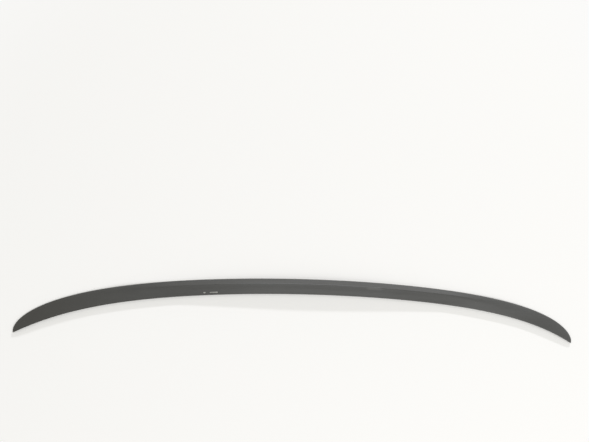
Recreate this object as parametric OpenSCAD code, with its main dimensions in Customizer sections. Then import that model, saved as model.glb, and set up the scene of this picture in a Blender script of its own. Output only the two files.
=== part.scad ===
// Trunk-lid lip spoiler, moulded in one piece: a slim crescent with a crested section that
// runs out into pointed tips, open and ribbed underneath, with a bonding land along both edges.
// X runs across the car, Y towards its rear and Z up. The lip lies on its trailing edge as it
// comes to rest, with the origin below the middle of its box.

/* [Overall] */
// Width from tip to tip
span = 1200; // [900:10:1500]
// Depth from the trailing edge to the front edge, at the middle
chord = 31.7; // [27:0.1:42]

/* [Plan outline] */
// How far the ends lie forward of the middle through the even bow of the lip
bow = 52.9; // [10:0.1:90]
// How much further forward the trailing edge sweeps round each end
end_sweep = 68.2; // [55:0.1:100]
// How late and how tightly that end sweep sets in
sweep_power = 5.5; // [3.5:0.1:8]
// Length of the blunt edge that closes each tip
tip_blunt = 4.3; // [3.6:0.1:8]
// Corner radius of each tip, seen from above
tip_round = 2; // [0.5:0.1:2.4]

/* [Section] */
// Height of the crest above the lid, at the middle
crest_height = 14; // [11:0.5:20]
// Height that the crest line runs down to at the tips, before they narrow
tip_height = 3.4; // [2.6:0.1:5]
// Distance of the crest from the trailing edge, at the middle
crest_setback = 10; // [8:0.1:15]
// Rounding of the crest, at the middle
crest_round = 2.2; // [1:0.1:4]
// Distance from the middle at which the crest begins to fade
fade_start = 270; // [100:10:300]
// Distance from the middle at which the crest has faded out
fade_end = 420; // [310:10:540]
// Hollow of the top face in front of the crest, at the middle
top_dish = 1.1; // [0:0.1:2]
// Hollow of the rear face behind the crest, at the middle
rear_dish = 0.4; // [0:0.1:1]
// Radius of the rounded trailing edge
heel_radius = 0.8; // [0.5:0.1:1.1]
// Radius of the rounded front edge
front_radius = 0.9; // [0.5:0.1:1.1]

/* [Underside] */
// Angle between the bonding side and the plane that the lip rests on
rake = 6; // [0:0.5:12]
// Thickness of the skin over the pockets
wall = 3; // [2.4:0.1:4]
// Width of the bonding side's land behind the front edge
front_land = 9; // [6:0.5:11]
// Width of the bonding side's land in front of the trailing edge
rear_land = 7.5; // [5:0.5:9]
// Width of the rim that touches the lid along both edges
rim = 1.8; // [1.4:0.1:2.5]
// Depth of the seat for the bonding tape, above the rim
tape_seat = 0.8; // [0.4:0.1:1.2]
// Distance from each tip at which the tape seat ends
seat_end = 30; // [20:5:60]
// Length over which the tape seat runs out there
seat_run = 40; // [20:5:60]
// Length of each end that stays solid
solid_end = 180; // [120:10:240]
// Distance from one cross rib to the next
rib_pitch = 60; // [40:5:90]
// Thickness of a cross rib at its free edge
rib_thick = 2; // [1.2:0.1:3]
// How far the ribs stay back from the tape seat
rib_gap = 1; // [0.5:0.1:2]
// Run of the drafted wall at each side and end of a pocket
draft_run = 0.5; // [0.3:0.1:1]

/* [Hidden] */
paint = [0.32, 0.32, 0.31];

half = span / 2;
front_sweep = end_sweep + tip_blunt - chord;
pockets = floor((span - 2 * solid_end) / rib_pitch);
hollow_half = pockets * rib_pitch / 2;
pocket_steps = 3;
end_steps = 24;
arc_steps = 3;
face_steps = 8;
roof_steps = 6;
crest_bias = 1.6;

// Forms of the underside between the lands
solid_level = 0;
rib_level = 1;
pocket_level = 2;

function mix(a, b, t) = a + (b - a) * t;
function clamp01(t) = max(0, min(1, t));
function ease(t) = let (c = clamp01(t)) c * c * (3 - 2 * c);
// The lower of two heights, with the corner between them rounded off over about k
function soft_min(a, b, k) = (a + b - sqrt((a - b) * (a - b) + k * k)) / 2;
// A smooth dip of depth 1 between t = 0 and t = 1
function dip(t) = (1 - cos(360 * clamp01(t))) / 2;

// Plan outline: the trailing edge bows evenly, then turns forward like the end of an oval.
// The front edge follows with its own sweep and meets it at the blunt tip.
function share(x) = min(1, abs(x) / half);
function trailing(x) = let (u = share(x))
    -bow * u * u - end_sweep * (1 - sqrt(1 - pow(u, sweep_power)));
function corner(x) = let (d = max(0, abs(x) - half + tip_round))
    tip_round - sqrt(max(0, tip_round * tip_round - d * d));
function leading(x) = let (u = share(x))
    corner(x) - chord - bow * u * u - front_sweep * pow(u, sweep_power);
function width(x) = (trailing(x) - leading(x)) / cos(rake);

// Section, with s forward from the trailing edge and height measured from the lid
function scale_at(x) = width(x) / width(0);
function crest_at(x) = crest_setback * scale_at(x);
function fade(x) = ease((abs(x) - fade_start) / (fade_end - fade_start));
function height_at(x) = mix(crest_height, tip_height, ease(share(x)));
function edge_at(t) = 2 * mix(heel_radius, front_radius, t);

// Middle of the lip: a rear face and a top face, each a little hollow, meet at a rounded crest
function round_at(x) = crest_round * scale_at(x);
function ridge(x) = height_at(x) + round_at(x) / 2;
// Angle of a face that leaves a rounded edge and reaches a given height over a given run
function face_angle(run, height, r) =
    atan2(height - r, run - r) - asin(r / norm([run - r, height - r]));
function rear_angle(x) = face_angle(crest_at(x), ridge(x), heel_radius);
function top_angle(x) = face_angle(width(x) - crest_at(x), ridge(x), front_radius);
function rear_face(x, s, depth) = ridge(x) - depth / cos(rear_angle(x))
    - (crest_at(x) - s) * tan(rear_angle(x)) - rear_dish * dip(s / crest_at(x));
function top_face(x, s, depth) = ridge(x) - depth / cos(top_angle(x))
    - (s - crest_at(x)) * tan(top_angle(x))
    - top_dish * dip((s - crest_at(x)) / (width(x) - crest_at(x)));
function crest_form(x, s, depth) =
    soft_min(rear_face(x, s, depth), top_face(x, s, depth), round_at(x));

// Legs: one even arch from edge to edge, highest at the crest line, that sinks to the edges
// as the tip narrows
function leg_rise(x) = (height_at(x) - edge_at(0.5)) * min(1, sqrt(scale_at(x)));
function leg_angle(x) = atan(4 * leg_rise(x) / width(x));
function leg_form(x, s, depth) = let (
        skew = ln(0.5) / ln(crest_setback / width(0)),
        t = clamp01(s / width(x)),
        v = pow(t, skew))
    edge_at(t) + leg_rise(x) * 4 * v * (1 - v) - depth;

// Surface of the lip, or the surface that lies a given depth inside it
function skin(x, s, depth) =
    mix(crest_form(x, s, depth), leg_form(x, s, depth), fade(x));

// Underside between the lands: flush where solid, set back at a rib, up to the roof in a pocket
function seat(x) = tape_seat * ease((half - abs(x) - seat_end) / seat_run);
function under(x, s, level) = let (deep = max(seat(x), skin(x, s, wall)))
    level == pocket_level ? deep
    : level == rib_level ? min(deep, seat(x) + rib_gap)
    : seat(x);

// One closed outline of the section: trailing edge, skin over the crest, front edge, underside
function heel_turn(x) = mix(rear_angle(x), leg_angle(x), fade(x));
function front_turn(x) = mix(top_angle(x), leg_angle(x), fade(x));
function heel_arc(x) = [for (i = [0 : arc_steps])
    let (a = mix(270, 90 + heel_turn(x), i / arc_steps))
    heel_radius * [1 + cos(a), 1 + sin(a)]];
function front_arc(x) = [for (i = [0 : arc_steps])
    let (a = mix(90 - front_turn(x), -90, i / arc_steps))
    [width(x), 0] + front_radius * [cos(a) - 1, 1 + sin(a)]];
function skin_line(x) = let (
        from = heel_radius * (1 - sin(heel_turn(x))),
        to = width(x) - front_radius * (1 - sin(front_turn(x))))
    [for (i = [1 - face_steps : face_steps - 1])
        let (
            t = pow(abs(i) / face_steps, crest_bias),
            s = mix(crest_at(x), i < 0 ? from : to, t))
        [s, skin(x, s, 0)]];
// Places on the bonding side at distance d from the trailing edge or the front edge, which
// draw together as the tips narrow
function flat_scale(x) = (width(x) - heel_radius - front_radius)
    / (width(0) - heel_radius - front_radius);
function from_heel(x, d) = heel_radius + (d - heel_radius) * flat_scale(x);
function from_front(x, d) = width(x) - front_radius - (d - front_radius) * flat_scale(x);
function under_line(x, level) = concat(
    [[from_front(x, rim), 0],
     [from_front(x, rim + draft_run), seat(x)],
     [from_front(x, front_land), seat(x)]],
    [for (i = [0 : roof_steps])
        let (s = mix(
            from_front(x, front_land + draft_run),
            from_heel(x, rear_land + draft_run),
            i / roof_steps))
        [s, under(x, s, level)]],
    [[from_heel(x, rear_land), seat(x)],
     [from_heel(x, rim + draft_run), seat(x)],
     [from_heel(x, rim), 0]]);
function section(x, level) =
    concat(heel_arc(x), skin_line(x), front_arc(x), under_line(x, level));

// A section stands in its own YZ plane, turned up by the rake about the trailing edge
function place(x, p) = [
    x,
    trailing(x) - p[0] * cos(rake) + p[1] * sin(rake),
    p[0] * sin(rake) + p[1] * cos(rake)];
function ring(station) = [for (p = section(station[0], station[1])) place(station[0], p)];

// Stations across the lip, each with its place and its level: closer towards the tips, and in
// pairs at the walls of each pocket
function end_stations(side) = [for (i = [1 : end_steps])
    [side * mix(hollow_half, half, sin(90 * i / end_steps)), solid_level]];
function rib_stations(i) = let (x = i * rib_pitch - hollow_half, t = rib_thick / 2)
    i == 0 ? [[x, solid_level], [x + draft_run, pocket_level]]
    : i == pockets ? [[x - draft_run, pocket_level], [x, solid_level]]
    : [[x - t - draft_run, pocket_level], [x - t, rib_level],
       [x + t, rib_level], [x + t + draft_run, pocket_level]];
function pocket_stations(i) = [for (j = [1 : pocket_steps - 1])
    [(i + j / pocket_steps) * rib_pitch - hollow_half, pocket_level]];
function backwards(list) = [for (i = [len(list) - 1 : -1 : 0]) list[i]];
stations = concat(
    backwards(end_stations(-1)),
    [for (i = [0 : pockets])
        each concat(rib_stations(i), i < pockets ? pocket_stations(i) : [])],
    end_stations(1));

rings = [for (station = stations) ring(station)];
ring_size = len(rings[0]);
ring_count = len(rings);
shell_points = [for (r = rings) each r];
function centre(list) = [for (v = list) 1] * list / len(list);
tip_points = [centre(rings[0]), centre(rings[ring_count - 1])];
side_faces = [for (i = [0 : ring_count - 2], j = [0 : ring_size - 1])
    let (
        k = (j + 1) % ring_size,
        a = i * ring_size + j,
        b = i * ring_size + k,
        c = b + ring_size,
        d = a + ring_size)
    each [[a, c, b], [a, d, c]]];
first_tip = ring_count * ring_size;
last_ring = first_tip - ring_size;
tip_faces = [for (j = [0 : ring_size - 1])
    let (k = (j + 1) % ring_size)
    each [[first_tip, j, k], [first_tip + 1, last_ring + k, last_ring + j]]];

depths = [for (p = shell_points) p[1]];
heights = [for (p = shell_points) p[2]];
origin = [0, (min(depths) + max(depths)) / 2, min(heights)];

module spoiler() {
    color(paint)
        translate(-origin)
            polyhedron(concat(shell_points, tip_points), concat(side_faces, tip_faces));
}

spoiler();
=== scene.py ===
# Trunk-lid lip spoiler: its painted shell with the ribbed underside, the studio and the camera
import math
import bpy
import numpy as np
from mathutils import Matrix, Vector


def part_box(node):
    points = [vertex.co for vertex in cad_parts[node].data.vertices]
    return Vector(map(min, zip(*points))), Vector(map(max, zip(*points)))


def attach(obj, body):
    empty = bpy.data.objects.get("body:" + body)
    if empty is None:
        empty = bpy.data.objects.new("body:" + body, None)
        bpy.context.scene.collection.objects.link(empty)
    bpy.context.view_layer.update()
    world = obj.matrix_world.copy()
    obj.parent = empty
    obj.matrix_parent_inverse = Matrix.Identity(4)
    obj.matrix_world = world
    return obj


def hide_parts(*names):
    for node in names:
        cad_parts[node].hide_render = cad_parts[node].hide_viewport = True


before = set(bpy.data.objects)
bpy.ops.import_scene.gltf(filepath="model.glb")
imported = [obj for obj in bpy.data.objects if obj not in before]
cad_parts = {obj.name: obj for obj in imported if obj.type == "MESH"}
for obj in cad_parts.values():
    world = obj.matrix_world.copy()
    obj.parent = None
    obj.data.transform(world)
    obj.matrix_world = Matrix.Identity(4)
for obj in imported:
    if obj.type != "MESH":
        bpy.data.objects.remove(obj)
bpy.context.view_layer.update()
boxLow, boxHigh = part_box("spoiler")
print("frame loaded")

# The lip, in metres. s runs forward from the trailing edge, n up from the bonding side.
lip = {
    "span": boxHigh.x - boxLow.x,
    "chord": 0.0317,         # depth from the trailing edge to the front edge, at the middle
    "bow": 0.0529,           # even bow of the outline, seen from above
    "endSweep": 0.0682,      # further sweep of the trailing edge round each end
    "sweepPower": 5.5,       # how late and how tightly that sweep sets in
    "tipBlunt": 0.0043,      # blunt edge that closes each tip
    "tipRound": 0.002,       # its corner radius, seen from above
    "crestHeight": 0.014,    # at the middle
    "tipHeight": 0.0034,     # where the crest line ends
    "crestSetback": 0.0100,  # crest to trailing edge, at the middle
    "crestRound": 0.0022,
    "fadeStart": 0.27,       # from the middle: the crest fades between these two
    "fadeEnd": 0.42,
    "topDish": 0.0011,       # hollow of the face in front of the crest
    "rearDish": 0.0004,      # hollow of the face behind it
    "heelRadius": 0.0008,
    "frontRadius": 0.0009,
    "rake": math.radians(6),
    "wall": 0.003,           # skin over the pockets
    "frontLand": 0.009,      # bonding land behind the front edge
    "rearLand": 0.0075,      # bonding land in front of the trailing edge
    "rim": 0.0018,
    "tapeSeat": 0.0008,      # depth of the tape's seat above the rim
    "seatEnd": 0.03,         # the seat stops this far from the tips
    "seatRun": 0.04,         # and reaches its depth over this length
    "solidEnd": 0.18,        # solid length of each end
    "ribPitch": 0.06,
    "ribThick": 0.002,
    "ribGap": 0.001,         # how far the ribs stay back from the tape seat
    "draftRun": 0.0005,      # drafted wall of a pocket
    "fillet": 0.0003,        # rounding at the top and foot of each drafted wall
    "tipEdge": 0.0009,       # rounding of the blunt edge at each tip, seen from the front
    "tipLeast": 0.05,        # share of the section's height that is left at the very end
    # Two chips in the paint near the front edge: from x to x at s, and a half width at both ends
    "chips": [
        {"fromX": -0.2364, "toX": -0.2346, "s": 0.0265, "halfFrom": 0.0013, "halfTo": 0.0014},
        {"fromX": -0.2240, "toX": -0.2100, "s": 0.0265, "halfFrom": 0.0008, "halfTo": 0.0014},
    ],
    "chipDepth": 0.00014,
    "chipRamp": 0.0008,      # over which a chip's edge may wander
    "chipWall": (0.1875, 0.8125),  # part of that ramp over which the paint drops
    # How finely the grid is divided along the lip
    "wallStations": 7,       # over a drafted wall
    "roofStations": 9,       # over the roof of a pocket, with its ends
    "legStations": 64,
    "tipStations": 8,
    "chipStation": 0.0005,   # from one station to the next at the chips
    "chipMargin": 0.003,     # how far these go past them
    # How finely it is divided round the section
    "arcPlaces": 10,
    "rearPlaces": 21,
    "topPlaces": 26,
    "crestPower": 1.5,       # gathers both of these at the crest
    "chipPlaces": 15,
    "chipZone": 0.12,        # half of the share of the top face that these take
    "wallPlaces": 6,
    "frontLandPlaces": 5,
    "rearLandPlaces": 4,
    "roofPlaces": 12,
    "frontRimPlace": 0.0013,
    "rearRimPlace": 0.0012,
}
roundOff = 1e-6  # keeps a whole count of pockets whole
half = lip["span"] / 2
pockets = int((lip["span"] - 2 * lip["solidEnd"]) / lip["ribPitch"] + roundOff)
hollowHalf = pockets * lip["ribPitch"] / 2


def mix(a, b, t):
    # The share t of the way from a to b
    return a + (b - a) * t


def ease(t):
    # 3 t squared less 2 t cubed, held between 0 and 1
    t = np.clip(t, 0, 1)
    return t * t * (3 - 2 * t)


def easeBetween(value, start, end):
    # The same, from 0 at start to 1 at end
    return ease((value - start) / (end - start))


def softMin(a, b, k):
    # The lower of two heights: half of their sum less the root of their difference squared and k squared
    return (a + b - np.sqrt((a - b) ** 2 + k * k)) / 2


def dip(t):
    # One smooth wave of depth 1 between t = 0 and t = 1
    return (1 - np.cos(2 * np.pi * np.clip(t, 0, 1))) / 2


def faceAngle(run, height, radius):
    # Slope of a face that leaves a rounded edge and reaches a height over a run
    run = run - radius
    height = height - radius
    return np.arctan2(height, run) - np.arcsin(radius / np.hypot(run, height))


def sizesAt(x):
    # Plan outline and section sizes at x. With u = |x| / half and p = sweepPower: trailing edge =
    # minus bow u^2 minus endSweep (1 - root(1 - u^p)), leading edge = minus chord minus bow u^2
    # minus frontSweep u^p, rounded off at the corner
    u = np.minimum(1, np.abs(x) / half)
    sweep = u ** lip["sweepPower"]
    inCorner = np.maximum(0, np.abs(x) - half + lip["tipRound"])
    corner = lip["tipRound"] - np.sqrt(np.maximum(0, lip["tipRound"] ** 2 - inCorner ** 2))
    frontSweep = lip["endSweep"] + lip["tipBlunt"] - lip["chord"]
    trailing = -lip["bow"] * u * u - lip["endSweep"] * (1 - np.sqrt(np.maximum(0, 1 - sweep)))
    leading = corner - lip["chord"] - lip["bow"] * u * u - frontSweep * sweep
    width = (trailing - leading) / math.cos(lip["rake"])
    middleWidth = lip["chord"] / math.cos(lip["rake"])
    scale = width / middleWidth
    edges = lip["heelRadius"] + lip["frontRadius"]
    crest = lip["crestSetback"] * scale
    height = mix(lip["crestHeight"], lip["tipHeight"], ease(u))
    ridgeRound = lip["crestRound"] * scale
    ridge = height + ridgeRound / 2
    legRise = (height - edges) * np.minimum(1, np.sqrt(scale))
    fade = easeBetween(np.abs(x), lip["fadeStart"], lip["fadeEnd"])
    rearAngle = faceAngle(crest, ridge, lip["heelRadius"])
    topAngle = faceAngle(width - crest, ridge, lip["frontRadius"])
    legAngle = np.arctan(4 * legRise / width)
    return {
        "x": x,
        "trailing": trailing,
        "width": width,
        "crest": crest,
        "ridge": ridge,
        "ridgeRound": ridgeRound,
        "fade": fade,
        "rearAngle": rearAngle,
        "topAngle": topAngle,
        "legRise": legRise,
        "skew": math.log(0.5) / math.log(lip["crestSetback"] / middleWidth),
        "heelTurn": mix(rearAngle, legAngle, fade),
        "frontTurn": mix(topAngle, legAngle, fade),
        "seat": lip["tapeSeat"] * ease((half - np.abs(x) - lip["seatEnd"]) / lip["seatRun"]),
        "flatScale": (width - edges) / (middleWidth - edges),
    }


def skinHeight(at, s, depth):
    # Middle: the soft minimum of a rear face and a top face, each a straight slope less its dish.
    # Legs: edge height + 4 v (1 - v) rise, with v a power of s / width. The fade joins the two.
    rearFace = (
        at["ridge"]
        - depth / np.cos(at["rearAngle"])
        - (at["crest"] - s) * np.tan(at["rearAngle"])
        - lip["rearDish"] * dip(s / at["crest"])
    )
    topFace = (
        at["ridge"]
        - depth / np.cos(at["topAngle"])
        - (s - at["crest"]) * np.tan(at["topAngle"])
        - lip["topDish"] * dip((s - at["crest"]) / (at["width"] - at["crest"]))
    )
    t = np.clip(s / at["width"], 0, 1)
    v = t ** at["skew"]
    edge = 2 * mix(lip["heelRadius"], lip["frontRadius"], t)
    leg = edge + at["legRise"] * 4 * v * (1 - v) - depth
    return mix(softMin(rearFace, topFace, at["ridgeRound"]), leg, at["fade"])


def wallStep(distance):
    # Eases from 0 to 1 across a drafted wall, with its top and foot rounded off
    return easeBetween(distance, -lip["fillet"], lip["draftRun"] + lip["fillet"])


def wallRun(count):
    # Evenly spaced distances across such a wall
    return np.linspace(-lip["fillet"], lip["draftRun"] + lip["fillet"], count)


def underHeight(at, s):
    # Bonding side: 0 at the rims, the tape seat between them, and pockets up to the skin's inner
    # face between the lands, with a cross rib at every pitch
    fromHeel = lip["heelRadius"] + (s - lip["heelRadius"]) / at["flatScale"]
    fromFront = lip["frontRadius"] + (at["width"] - lip["frontRadius"] - s) / at["flatScale"]
    seat = at["seat"] * wallStep(np.minimum(fromHeel, fromFront) - lip["rim"])
    sides = wallStep(np.minimum(fromHeel - lip["rearLand"], fromFront - lip["frontLand"]))
    ends = wallStep(hollowHalf - np.abs(at["x"]))
    pitches = (at["x"] + hollowHalf) / lip["ribPitch"]
    toRib = np.abs(pitches - np.round(pitches)) * lip["ribPitch"]
    ribs = wallStep(toRib - lip["ribThick"] / 2)
    roof = np.maximum(skinHeight(at, s, lip["wall"]) - at["seat"], 0)
    ribLevel = np.minimum(lip["ribGap"], roof)
    return seat + sides * ends * mix(ribLevel, roof, ribs)


def chipField(x, s):
    # 0 outside the chips and 1 inside: the half width less the distance to a short line, over a ramp
    field = 0
    for chip in lip["chips"]:
        t = np.clip((x - chip["fromX"]) / (chip["toX"] - chip["fromX"]), 0, 1)
        away = np.hypot(x - mix(chip["fromX"], chip["toX"], t), s - chip["s"])
        inside = mix(chip["halfFrom"], chip["halfTo"], t * t) - away
        field = np.maximum(field, np.clip(inside / lip["chipRamp"] + 0.5, 0, 1))
    return field


def sineRun(start, end, count):
    # From start to end by the sine of a quarter turn, so closer towards the end, without the start
    return mix(start, end, np.sin(np.linspace(0, np.pi / 2, count)))[1:]


def stationPlaces():
    # Places across the car: evenly in the pockets, closer at the ribs' walls, at the chips and
    # towards the tips, where they follow a sine
    walls = wallRun(lip["wallStations"])
    ribWall = lip["ribThick"] / 2 + walls
    roof = np.linspace(ribWall[-1], lip["ribPitch"] - ribWall[-1], lip["roofStations"])[1:-1]
    onePocket = np.concatenate([[0], ribWall, roof, lip["ribPitch"] - ribWall[::-1]])
    hollow = (np.arange(pockets)[:, None] * lip["ribPitch"] + onePocket[None, :]).ravel() - hollowHalf
    lastWall = hollowHalf - walls[::-1]
    hollow = hollow[np.abs(hollow) < lastWall[0] - roundOff]
    legs = sineRun(lastWall[-1], half - lip["tipEdge"], lip["legStations"])
    tips = sineRun(half - lip["tipEdge"], half, lip["tipStations"])
    side = np.concatenate([lastWall, legs, tips])
    chipsFrom = lip["chips"][0]["fromX"] - lip["chipMargin"]
    chipsTo = lip["chips"][-1]["toX"] + lip["chipMargin"]
    atChips = np.arange(chipsFrom, chipsTo, lip["chipStation"])
    hollow = hollow[(hollow < atChips[0]) | (hollow > atChips[-1])]
    return np.sort(np.concatenate([-side, hollow, atChips, side]))


def skinPlaces(at):
    # s over the skin: shares of the way from the crest to each rounded edge, raised to a power so
    # that they gather at the crest, with more of them where the chips are
    skinFrom = lip["heelRadius"] * (1 - np.sin(at["heelTurn"]))
    skinTo = at["width"] - lip["frontRadius"] * (1 - np.sin(at["frontTurn"]))
    topRun = lip["chord"] - lip["frontRadius"] - lip["crestSetback"]
    chipShare = (lip["chips"][0]["s"] - lip["crestSetback"]) / topRun
    atChips = np.linspace(chipShare - lip["chipZone"], chipShare + lip["chipZone"], lip["chipPlaces"])
    rearShares = np.linspace(1, 0, lip["rearPlaces"])[1:] ** lip["crestPower"]
    topShares = np.linspace(0, 1, lip["topPlaces"])[1:-1] ** lip["crestPower"]
    topShares = np.union1d(topShares, atChips)
    rear = mix(at["crest"], skinFrom, rearShares)
    top = mix(at["crest"], skinTo, topShares)
    return np.concatenate([rear, top], axis=1)


def edgePlaces(rimPlace, land, count):
    # Distances from an edge: one on the rim, then over the tape seat's wall, the land and the
    # pocket's wall
    walls = wallRun(lip["wallPlaces"])
    onLand = np.linspace(lip["rim"] + walls[-1], land + walls[0], count)[1:-1]
    return np.concatenate([[rimPlace], lip["rim"] + walls, onLand, land + walls])


def underPlaces(at):
    # s over the bonding side, from the front edge back: both edges' places at the station's own
    # scale, and even steps over the roof between them
    front = edgePlaces(lip["frontRimPlace"], lip["frontLand"], lip["frontLandPlaces"])
    rear = edgePlaces(lip["rearRimPlace"], lip["rearLand"], lip["rearLandPlaces"])[::-1]
    fromFront = at["width"] - lip["frontRadius"] - (front - lip["frontRadius"]) * at["flatScale"]
    fromHeel = lip["heelRadius"] + (rear - lip["heelRadius"]) * at["flatScale"]
    roof = mix(fromFront[:, -1:], fromHeel[:, :1], np.linspace(0, 1, lip["roofPlaces"])[1:-1])
    return np.concatenate([fromFront, roof, fromHeel], axis=1)


def lipRings():
    # Each station's closed outline as s and n: heel arc, skin, front arc and underside. Then
    # y = trailing - s cos(rake) + n sin(rake) and z = s sin(rake) + n cos(rake).
    at = sizesAt(stationPlaces()[:, None])
    arc = np.linspace(0, 1, lip["arcPlaces"])
    heel = mix(math.radians(270), math.radians(90) + at["heelTurn"], arc)
    heelS = lip["heelRadius"] * (1 + np.cos(heel))
    heelN = lip["heelRadius"] * (1 + np.sin(heel))
    front = mix(math.radians(90) - at["frontTurn"], math.radians(-90), arc)
    frontS = at["width"] + lip["frontRadius"] * (np.cos(front) - 1)
    frontN = lip["frontRadius"] * (1 + np.sin(front))
    skinS = skinPlaces(at)
    chip = chipField(at["x"], skinS)
    skinN = skinHeight(at, skinS, 0) - lip["chipDepth"] * easeBetween(chip, *lip["chipWall"])
    underS = underPlaces(at)
    s = np.concatenate([heelS, skinS, frontS, underS], axis=1)
    n = np.concatenate([heelN, skinN, frontN, underHeight(at, underS)], axis=1)
    # Over the last stretch the section thins to a rounded edge, like a quarter circle
    turn = np.clip((np.abs(at["x"]) - half + lip["tipEdge"]) / lip["tipEdge"], 0, 1)
    middle = (lip["heelRadius"] + lip["frontRadius"]) / 2
    n = middle + (n - middle) * np.maximum(np.sqrt(1 - turn ** 2), lip["tipLeast"])
    # What the finish reads: place from the trailing edge, its share of the width, how far a
    # point of the underside lies from the nearer edge, and the chips
    blank = np.zeros_like
    toEdge = np.minimum(underS, at["width"] - underS)
    masks = {
        "setback": s,
        "share": s / at["width"],
        "wrap": np.concatenate([blank(heelS), blank(skinS), blank(frontS), toEdge], axis=1),
        "chip": np.concatenate([blank(heelS), chip, blank(frontS), blank(underS)], axis=1),
    }
    x = at["x"] + 0 * s
    y = at["trailing"] - s * math.cos(lip["rake"]) + n * math.sin(lip["rake"])
    z = s * math.sin(lip["rake"]) + n * math.cos(lip["rake"])
    return np.stack([x, y, z], axis=-1), masks


def meshFromRings(name, rings, masks):
    # Joins each ring to the next with quads and closes both ends with a fan round a pole
    count, size = rings.shape[:2]
    low = np.array(boxLow)
    high = np.array(boxHigh)
    points = rings.reshape(-1, 3)
    middle = (points.min(axis=0) + points.max(axis=0)) / 2
    shift = np.array([0, (low[1] + high[1]) / 2 - middle[1], low[2] - points[:, 2].min()])
    poles = np.array([rings[0].mean(axis=0), rings[-1].mean(axis=0)])
    points = np.clip(np.concatenate([points, poles]) + shift, low, high)
    i, j = np.meshgrid(np.arange(count - 1), np.arange(size), indexing="ij")
    a = i * size + j
    b = i * size + (j + 1) % size
    quads = np.stack([a, b, b + size, a + size], axis=-1).reshape(-1, 4)
    k = np.arange(size)
    last = (count - 1) * size
    firstFan = np.stack([0 * k + count * size, (k + 1) % size, k], axis=-1)
    lastFan = np.stack([0 * k + count * size + 1, last + k, last + (k + 1) % size], axis=-1)
    mesh = bpy.data.meshes.new(name)
    mesh.from_pydata(points.tolist(), [], quads.tolist() + firstFan.tolist() + lastFan.tolist())
    for mask, values in masks.items():
        ends = [values[0].mean(), values[-1].mean()]
        attribute = mesh.attributes.new(mask, "FLOAT", "POINT")
        attribute.data.foreach_set("value", np.append(values.ravel(), ends).astype(np.float32))
    mesh.shade_smooth()
    mesh.validate()
    piece = bpy.data.objects.new(name, mesh)
    bpy.context.scene.collection.objects.link(piece)
    return piece


class Wire:
    # A node's output. Sums on wires add Math nodes, and node() adds any other node.
    def __init__(self, tree, socket=None):
        self.tree = tree
        self.socket = socket

    def node(self, kind, settings, inputs, output=0):
        made = self.tree.nodes.new("ShaderNode" + kind)
        for name, value in settings.items():
            setattr(made, name, value)
        for name, value in inputs.items():
            if isinstance(value, Wire):
                self.tree.links.new(value.socket, made.inputs[name])
            else:
                made.inputs[name].default_value = value
        return Wire(self.tree, made.outputs[output] if made.outputs else None)

    def maths(self, operation, *values):
        return self.node("Math", {"operation": operation}, dict(enumerate(values)))

    def __add__(self, other):
        return self.maths("ADD", self, other)

    def __radd__(self, other):
        return self.maths("ADD", other, self)

    def __sub__(self, other):
        return self.maths("SUBTRACT", self, other)

    def __rsub__(self, other):
        return self.maths("SUBTRACT", other, self)

    def __mul__(self, other):
        return self.maths("MULTIPLY", self, other)

    def __rmul__(self, other):
        return self.maths("MULTIPLY", other, self)

    def __abs__(self):
        return self.maths("ABSOLUTE", self)

    def step(self, start, end):
        # 0 at start and 1 at end, whichever is lower, eased between them and level beyond
        settings = {"interpolation_type": "SMOOTHSTEP"}
        return self.node("MapRange", settings, {"Value": self, "From Min": start, "From Max": end})

    def between(self, first, second):
        # This wire chooses between two colours, by the Mix node's colour sockets
        return self.node("Mix", {"data_type": "RGBA"}, {0: self, 6: first, 7: second}, 2)


def blankMaterial(name):
    material = bpy.data.materials.new(name)
    material.use_nodes = True
    material.node_tree.nodes.clear()
    return material, Wire(material.node_tree)


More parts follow.
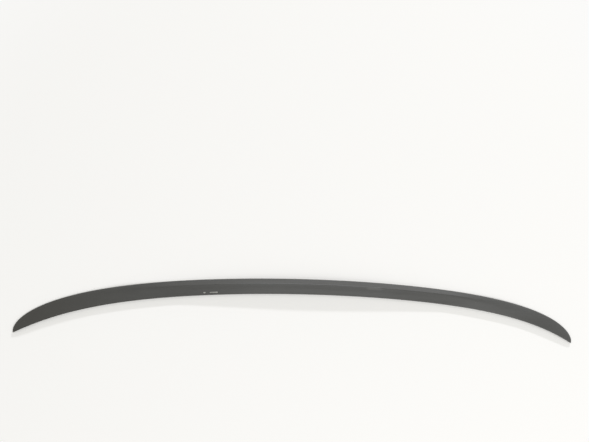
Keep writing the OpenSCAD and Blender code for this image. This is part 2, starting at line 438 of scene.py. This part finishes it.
# The lip's finish. Places along it are X in metres, a share is the part of its width from the
# trailing edge forward, and a pair gives where something starts and where it is full.
finish = {
    "paintDark": (0.0304, 0.0302, 0.0272, 1),
    "paintLight": (0.0407, 0.0404, 0.0364, 1),
    "paintWarm": (0.0290, 0.0276, 0.0220, 1),
    # Lighter grey laid on as painted light and shade, with a thin haze
    "hazeAndPaintedLight": (0.0780, 0.0792, 0.0768, 1),
    "dust": (0.19, 0.187, 0.18, 1),
    "lightStreak": (0.135, 0.135, 0.13, 1),
    "chipDark": (0.27, 0.268, 0.255, 1),
    "chipLight": (0.40, 0.398, 0.38, 1),
    "bareDark": (0.017, 0.017, 0.018, 1),
    "bareLight": (0.029, 0.029, 0.030, 1),
    # Noise patterns: scale, detail, and stretch along X, Y and Z
    "patterns": {
        "broad": (4.5, 2, (1, 1, 1)),
        "streaks": (9, 3, (0.25, 2.5, 2.5)),
        "wipes": (95, 4, (0.07, 1, 1)),
        "mottle": (170, 3, (1, 1, 1)),
        "blotches": (60, 2, (0.5, 1, 1)),
        "paintedShadeEdge": (14, 2, (1, 1, 1)),
        "streakEdge": (150, 3, (0.4, 1, 1)),
        "specks": (1500, 1, (1, 1, 1)),
        "speckGroups": (35, 2, (1, 1, 1)),
        "chipEdge": (650, 3, (1, 1, 1)),
        "primer": (900, 3, (1, 1, 1)),
        "sprayEdge": (260, 3, (1, 1, 1)),
        "bareTone": (30, 4, (1, 1, 1)),
        "orangePeel": (420, 2, (1, 1, 1)),
        "grain": (1300, 2, (1, 1, 1)),
        "flakes": (2600, 1, (1, 1, 1)),
    },
    "toneSwing": {"broad": 0.9, "streaks": 0.7, "wipes": 0.9, "mottle": 0.45, "blotches": 1.1},
    "warmEnd": (-0.36, -0.6),
    "warmLevel": 0.95,
    "paintedLightAndHazeLevel": 0.55,
    "hazeEven": 0.5,                # this part of it is even, and the rest follows two patterns
    "hazeSwing": {"wipes": 0.6, "mottle": 0.4},
    "paintedShadeWander": 0.05,             # how far its ends wander along the lip
    "paintedShadeSlant": 0.07,              # how far its right end leans, about this share
    "paintedShadePivot": 0.35,
    "paintedFaceShadeSlant": 0.12,             # and how far the right end of the painted shade on the face leans
    "crestRun": (0.12, 0.3),        # along here the patches at the crest move back by this share
    "crestMove": 0.11,
    "acrossLevel": 0.68,
    # Patches of painted light and shade: a level, and the ramps that it is multiplied by. Where a patch
    # makes the lip darker it is painted shade, and where it makes it lighter it is painted light.
    "patches": {
        "left": (0.15, [("wavy", -0.62, -0.4)]),
        "middle": (0.73, [("wavy", -0.29, -0.08), ("slanted", 0.55, 0.42)]),
        "right": (0.12, [("wavy", -0.29, -0.08)]),
        "heel": (0.2, [("share", 0.01, 0.07)]),
        "face": (0.08, [("crestShare", 0.28, 0.36)]),
        "front": (0.12, [("share", 0.6, 0.85)]),
        "rearMiddle": (0.3, [("crestShare", 0.36, 0.28), ("along", 0.02, 0.1), ("along", 0.36, 0.28)]),
        "paintedFaceShade": (0.68, [("share", 0.22, 0.34), ("wavy", 0.11, 0.2), ("leaning", 0.45, 0.38)]),
        "crestLine": (0.55, [
            ("crestShare", 0.2, 0.27),
            ("crestShare", 0.37, 0.31),
            ("along", -0.1, 0.05),
            ("along", 0.41, 0.34),
        ]),
        "rearRight": (0.08, [("crestShare", 0.36, 0.28), ("along", 0.24, 0.32), ("along", 0.44, 0.34)]),
        "leg": (0.42, [("share", 0.85, 0.1), ("along", 0.36, 0.5)]),
        "tip": (0.12, [("along", 0.49, 0.57)]),
        "trailing": (0.35, [("share", 0.13, 0.05), ("along", 0.22, 0.3), ("along", 0.42, 0.36)]),
    },
    "speckRamp": (0.66, 0.76),
    "groupRamp": (0.4, 0.7),
    "speckLevel": 0.5,
    "streakFrom": (0.1045, 0.0127),  # X and setback of the streak's two ends
    "streakTo": (0.139, 0.0123),
    "streakHalf": 0.0029,
    "streakWander": 0.9,
    "streakAside": (1.1, 0.6),       # in half widths
    "streakStart": (-0.12, 0.2),     # in lengths
    "streakEnd": (1.12, 0.75),
    "streakLevel": 0.42,
    "chipWander": 0.9,
    "chipEdge": (0.42, 0.58),
    "primerRamp": (0.35, 0.65),
    "overspray": (0.0012, 0.006),   # how far the paint runs in under the edges, in metres
    "oversprayWander": 0.004,
    "paintRoughness": 0.5,
    "bareRoughness": 0.58,
    "roughnessBy": {"mottle": 0.10, "lightStreak": 0.08, "chip": 0.2, "specks": 0.15},
    "coat": 0.08,
    "coatRoughness": 0.3,
    "peelHeight": 0.00002,          # in metres
    "grainHeight": 0.000022,
    "flakeHeight": 0.00003,
}


def swung(noise, amount):
    # A noise pattern taken from its middle, which is a half, times an amount
    return (noise - 0.5) * amount


def paintedLightAndShadeMask(along, share, edgeNoise):
    # Sums and products of patches: a lighter grey laid on as painted light and shade. It is weak at
    # the left end (painted shade), fuller in the middle and the right, and thins out on the rear face, at
    # the front edge and towards the right tip (painted shade). Most of it is taken away along the crest,
    # and in front of the crest where that fades out (painted shade). A little is added on the right leg
    # (painted light).
    wavy = along + swung(edgeNoise, finish["paintedShadeWander"])
    fields = {
        "along": along,
        "share": share,
        "wavy": wavy,
        "slanted": wavy + (share - finish["paintedShadePivot"]) * finish["paintedShadeSlant"],
        "leaning": wavy + share * finish["paintedFaceShadeSlant"],
        "crestShare": share - along.step(*finish["crestRun"]) * finish["crestMove"],
    }
    patches = {}
    for name, (level, ramps) in finish["patches"].items():
        patch = level
        for field, start, end in ramps:
            patch = patch * fields[field].step(start, end)
        patches[name] = patch
    lengthwise = patches["left"] + patches["middle"] + patches["right"]
    across = patches["heel"] + patches["face"] - patches["front"] + finish["acrossLevel"]
    # Painted shade along the crest and on the face in front of it
    paintedShadeFactor = (1 - patches["paintedFaceShade"]) * (1 - patches["crestLine"])
    added = patches["rearRight"] + patches["leg"] + patches["tip"] - patches["trailing"]
    return lengthwise * (across - patches["rearMiddle"]) * paintedShadeFactor + added


def lightStreakMask(along, setback, edgeNoise):
    # The distance to a short line, in half widths, and the place along it, in lengths
    fromX, fromSetback = finish["streakFrom"]
    toX, toSetback = finish["streakTo"]
    t = (along - fromX) * (1 / (toX - fromX))
    aside = abs(setback - (fromSetback + t * (toSetback - fromSetback))) * (1 / finish["streakHalf"])
    aside = aside + swung(edgeNoise, finish["streakWander"])
    lengthwise = t.step(*finish["streakStart"]) * t.step(*finish["streakEnd"])
    return aside.step(*finish["streakAside"]) * lengthwise


def lipFinish():
    material, start = blankMaterial("satinPaint")
    place = start.node("TexCoord", {}, {}, "Object")
    along = start.node("SeparateXYZ", {}, {"Vector": place}, "X")
    noise = {}
    for name, (scale, detail, stretch) in finish["patterns"].items():
        stretched = start.node("Mapping", {}, {"Vector": place, "Scale": stretch})
        noise[name] = start.node("TexNoise", {}, {"Vector": stretched, "Scale": scale, "Detail": detail})

    def attribute(name):
        return start.node("Attribute", {"attribute_name": name}, {}, "Fac")

    # Bare moulded plastic starts where the overspray ends, along a ragged line
    ragged = swung(noise["sprayEdge"], finish["oversprayWander"])
    bare = (attribute("wrap") + ragged).step(*finish["overspray"])
    chipped = swung(noise["chipEdge"], finish["chipWander"])
    chip = (attribute("chip") + chipped).step(*finish["chipEdge"])
    # Paint: broad tone changes, streaks and wipe marks along the lip, a fine mottle
    tone = 0.5
    for name, swing in finish["toneSwing"].items():
        tone = tone + swung(noise[name], swing)
    colour = tone.between(finish["paintDark"], finish["paintLight"])
    # The left end turns warmer and a little darker; the darkening is painted shade
    warm = along.step(*finish["warmEnd"]) * finish["warmLevel"]
    colour = warm.between(colour, finish["paintWarm"])
    # Painted light and shade: a lighter grey over the paint, broken up by a thin haze, with fine dust
    # specks in loose groups
    clouds = finish["hazeEven"]
    for name, swing in finish["hazeSwing"].items():
        clouds = clouds + noise[name] * swing
    paintedLightAndHaze = paintedLightAndShadeMask(along, attribute("share"), noise["paintedShadeEdge"]) * finish["paintedLightAndHazeLevel"] * clouds
    colour = paintedLightAndHaze.between(colour, finish["hazeAndPaintedLight"])
    specks = noise["specks"].step(*finish["speckRamp"]) * noise["speckGroups"].step(*finish["groupRamp"])
    colour = (specks * finish["speckLevel"]).between(colour, finish["dust"])
    # A faint lighter streak beside the crest, and the chips down to a mottled primer
    lightStreak = lightStreakMask(along, attribute("setback"), noise["streakEdge"]) * (1 - bare)
    colour = (lightStreak * finish["streakLevel"]).between(colour, finish["lightStreak"])
    primer = noise["primer"].step(*finish["primerRamp"]).between(finish["chipDark"], finish["chipLight"])
    colour = chip.between(colour, primer)
    # Underside: mottled bare plastic
    bareColour = noise["bareTone"].between(finish["bareDark"], finish["bareLight"])
    colour = bare.between(colour, bareColour)
    rough = finish["paintRoughness"] + bare * (finish["bareRoughness"] - finish["paintRoughness"])
    changes = {"mottle": noise["mottle"] - 0.5, "lightStreak": lightStreak, "chip": chip, "specks": specks}
    for name, amount in finish["roughnessBy"].items():
        rough = rough + changes[name] * amount
    coat = finish["coat"] * (1 - bare) * (1 - chip)
    height = (
        noise["orangePeel"] * finish["peelHeight"] * (1 - bare)
        + noise["grain"] * finish["grainHeight"] * bare
        + noise["flakes"] * finish["flakeHeight"] * chip
    )
    bump = start.node("Bump", {}, {"Strength": 1.0, "Distance": 1.0, "Height": height}, "Normal")
    shader = start.node("BsdfPrincipled", {}, {
        "Base Color": colour,
        "Roughness": rough,
        "Coat Weight": coat,
        "Coat Roughness": finish["coatRoughness"],
        "Normal": bump,
    })
    start.node("OutputMaterial", {}, {"Surface": shader})
    return material


rings, masks = lipRings()
lipPiece = meshFromRings("lip_shell", rings, masks)
lipPiece.data.materials.append(lipFinish())
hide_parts("spoiler")
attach(lipPiece, "root")
print("lip made:", len(lipPiece.data.polygons), "faces")

# The studio: levels are shares of full white at the object
studio = {
    "floorColour": (0.96, 0.958, 0.952, 1),
    "floorRoughness": 0.0,
    "floorSize": 40,
    "floorSeen": (0.68, 1.1),  # from the origin: beyond this the camera sees the plain floor colour
    "skyLevel": 0.665,
    "skyColour": (1, 0.99, 0.955, 1),
    "key": {"place": (1.4, 5.7, 1.47), "size": (1.6, 0.14), "level": 0.505, "colour": (0.985, 0.99, 1.03)},
    "fill": {"place": (1.05, -1.9, 2.9), "size": (3, 3), "level": 0.325, "colour": (1, 1, 1)},
}


def makeFloor():
    # One pale sheet, lit and shadowed round the lip. Farther out the camera sees its plain colour.
    reach = studio["floorSize"] / 2
    mesh = bpy.data.meshes.new("floor")
    corners = [(-reach, -reach, 0), (reach, -reach, 0), (reach, reach, 0), (-reach, reach, 0)]
    mesh.from_pydata(corners, [], [(0, 1, 2, 3)])
    floor = bpy.data.objects.new("floor", mesh)
    bpy.context.scene.collection.objects.link(floor)
    material, start = blankMaterial("paleFloor")
    place = start.node("TexCoord", {}, {}, "Object")
    away = start.node("VectorMath", {"operation": "LENGTH"}, {0: place}, "Value")
    plain = away.step(*studio["floorSeen"]) * start.node("LightPath", {}, {}, "Is Camera Ray")
    colour = studio["floorColour"]
    lit = start.node("BsdfDiffuse", {}, {"Color": colour, "Roughness": studio["floorRoughness"]})
    seen = start.node("Emission", {}, {"Color": colour, "Strength": 1.0})
    shown = start.node("MixShader", {}, {0: plain, 1: lit, 2: seen})
    start.node("OutputMaterial", {}, {"Surface": shown})
    mesh.materials.append(material)


def makeSky():
    # Even pale sky: its level lights the object, and the camera and reflections see the floor's
    # plain colour
    world = bpy.data.worlds.new("sky")
    bpy.context.scene.world = world
    world.use_nodes = True
    world.node_tree.nodes.clear()
    start = Wire(world.node_tree)
    seen = start.node("LightPath", {}, {}, "Is Camera Ray")
    for ray in ("Is Glossy Ray", "Is Transmission Ray"):
        seen = seen.maths("MAXIMUM", seen, start.node("LightPath", {}, {}, ray))
    lighting = start.node("Background", {}, {"Color": studio["skyColour"], "Strength": studio["skyLevel"]})
    plain = start.node("Background", {}, {"Color": studio["floorColour"], "Strength": 1.0})
    shown = start.node("MixShader", {}, {0: seen, 1: lighting, 2: plain})
    start.node("OutputWorld", {}, {"Surface": shown})


def makeLamp(name, lamp):
    # A rectangular soft lamp that points at the origin. Power = level x (pi x distance) squared.
    place = np.array(lamp["place"])
    distance = np.linalg.norm(place)
    data = bpy.data.lights.new(name, "AREA")
    data.shape = "RECTANGLE"
    data.size, data.size_y = lamp["size"]
    data.color = lamp["colour"]
    data.energy = lamp["level"] * (math.pi * distance) ** 2
    lampObject = bpy.data.objects.new(name, data)
    lampObject.visible_camera = False
    back = place / distance
    side = np.cross([0, 0, 1], back)
    side = side / np.linalg.norm(side)
    up = np.cross(back, side)
    lampObject.matrix_world = Matrix([
        (side[0], up[0], back[0], place[0]),
        (side[1], up[1], back[1], place[1]),
        (side[2], up[2], back[2], place[2]),
        (0, 0, 0, 1),
    ])
    bpy.context.scene.collection.objects.link(lampObject)


makeFloor()
makeSky()
makeLamp("key", studio["key"])
makeLamp("fill", studio["fill"])
print("studio lit")

# The camera looks down from about 0.93 m, left of the lip's middle and turned a little to the right
camera = {
    "place": (-0.1777, 0.1845, 0.9274),
    "yaw": math.radians(7.434),
    "roll": math.radians(-3.072),
    "lens": 27.0,
    "sensor": 36.0,
    "nearest": 0.05,
    "farthest": 60,
}


def makeCamera():
    # Turned by roll about the line of sight after yaw about the picture's upright
    data = bpy.data.cameras.new("camera")
    data.lens = camera["lens"]
    data.sensor_width = camera["sensor"]
    data.clip_start = camera["nearest"]
    data.clip_end = camera["farthest"]
    view = bpy.data.objects.new("camera", data)
    turned = Matrix.Rotation(camera["roll"], 4, "Z") @ Matrix.Rotation(camera["yaw"], 4, "Y")
    view.matrix_world = Matrix.Translation(camera["place"]) @ turned.inverted()
    bpy.context.scene.collection.objects.link(view)
    bpy.context.scene.camera = view


makeCamera()
bpy.context.scene.view_settings.view_transform = "Standard"
print("camera placed")
